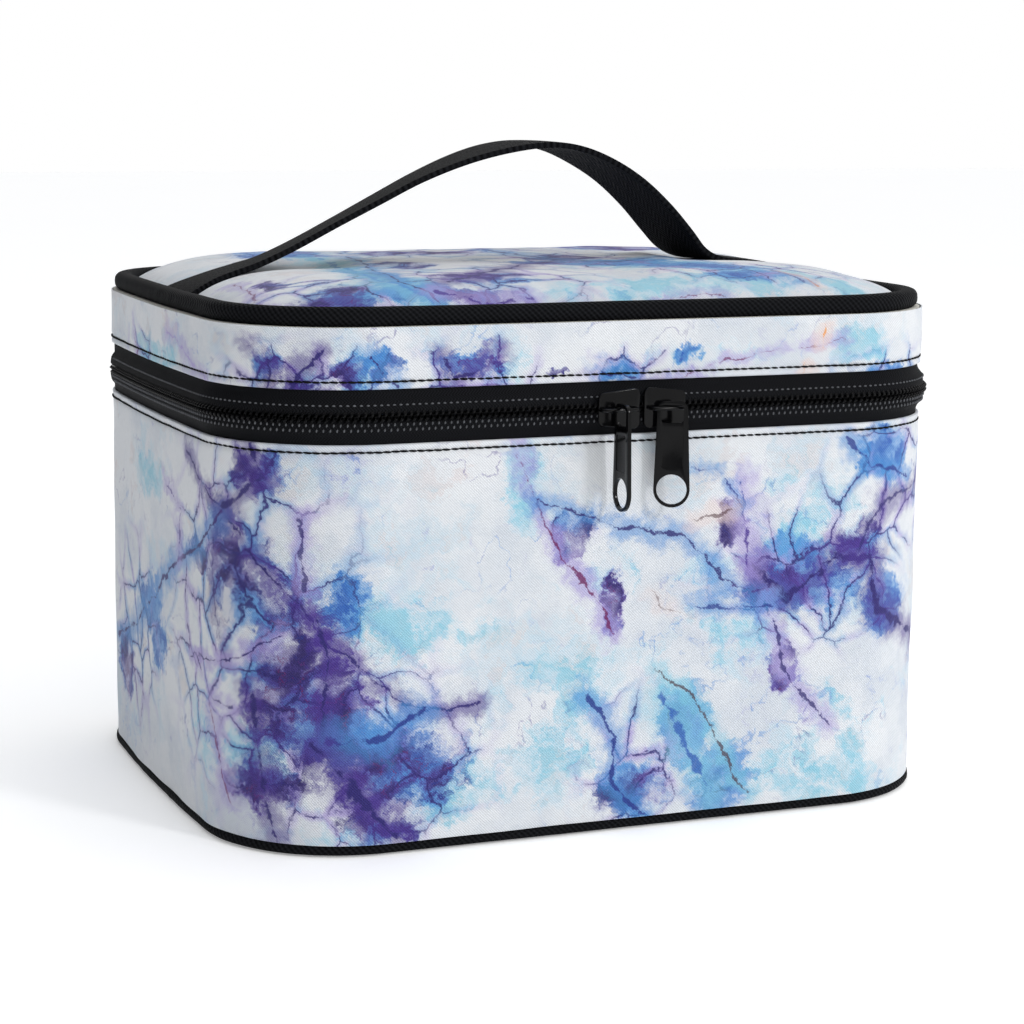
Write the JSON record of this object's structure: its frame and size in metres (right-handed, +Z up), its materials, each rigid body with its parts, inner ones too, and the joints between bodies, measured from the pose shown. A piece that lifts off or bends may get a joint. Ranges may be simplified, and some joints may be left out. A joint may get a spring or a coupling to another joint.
{
  "type": "makeup train case",
  "caption": "Soft rectangular makeup train case with a marbled cloth shell, padded zip-round lid, black piping and a webbing top handle.",
  "frame": {"origin": "middle of the underside, on the surface the case stands on", "axes": "+X along the long side, -Y out of the front where the sliders meet, +Z up"},
  "size_m": [0.254, 0.2156, 0.2145],
  "materials": {
    "print": "white twill with a marbled cyan, violet and magenta print",
    "piping": "black corded piping",
    "webbing": "black herringbone webbing",
    "zip_tape": "black woven zip tape and hinge strip",
    "zip_coil": "black nylon coil",
    "zip_stop": "black moulded zip stop",
    "enamel": "gloss black enamelled zinc",
    "lining": "black polyester lining",
    "binding": "black bias tape",
    "elastic": "black ribbed elastic",
    "mesh": "black net",
    "foam": "pale closed-cell foam sheet",
    "board": "stiffening board"
  },
  "bodies": {
    "case": {"base_piping": "piping", "base_cloth": "print", "base_board": "board", "base_foam": "foam", "base_lining": "lining", "floor_binding": "binding", "zip_tape_lower": "zip_tape", "zip_coil_lower": "zip_coil", "zip_stops_lower": "zip_stop", "hinge_strip_lower": "zip_tape", "body_cloth": "print", "body_foam": "foam", "body_lining": "lining", "brush_band": "elastic"},
    "lid": {"zip_tape_upper": "zip_tape", "zip_coil_upper": "zip_coil", "zip_stops_upper": "zip_stop", "hinge_strip_upper": "zip_tape", "lid_band_cloth": "print", "lid_band_foam": "foam", "lid_band_lining": "lining", "lid_piping": "piping", "lid_top_cloth": "print", "lid_top_foam": "foam", "lid_top_lining": "lining", "ceiling_binding": "binding", "lid_pocket": "mesh", "handle_end_left": "webbing", "handle_end_right": "webbing"},
    "handle": {"handle_strap": "webbing"},
    "slider_left_body": {"slider_left": "enamel", "slider_left_crown": "enamel"},
    "slider_right_body": {"slider_right": "enamel", "slider_right_crown": "enamel"},
    "pull_left_body": {"pull_left": "enamel"},
    "pull_right_body": {"pull_right": "enamel"}
  },
  "joints": [
    {"name": "lid_hinge", "type": "hinge", "parent": "case", "child": "lid", "pos_m": [0, 0.0992, 0.13475], "axis": [-1, 0, 0], "range_deg": [0, 115]},
    {"name": "handle_lean", "type": "hinge", "parent": "lid", "child": "handle", "pos_m": [0, 0, 0.1925], "axis": [1, 0, 0], "range_deg": [-50, 50], "stiffness_Nm_per_rad": 0.05},
    {"name": "slider_left_travel", "type": "slide", "parent": "case", "child": "slider_left_body", "axis": [-1, 0, 0], "range_m": [0, 0.064]},
    {"name": "slider_right_travel", "type": "slide", "parent": "case", "child": "slider_right_body", "axis": [1, 0, 0], "range_m": [0, 0.057]},
    {"name": "pull_left_swing", "type": "hinge", "parent": "slider_left_body", "child": "pull_left_body", "pos_m": [-0.0055, -0.1069, 0.13475], "axis": [-1, 0, 0], "range_deg": [0, 95]},
    {"name": "pull_right_swing", "type": "hinge", "parent": "slider_right_body", "child": "pull_right_body", "pos_m": [0.0125, -0.1069, 0.13475], "axis": [-1, 0, 0], "range_deg": [0, 165]}
  ]
}
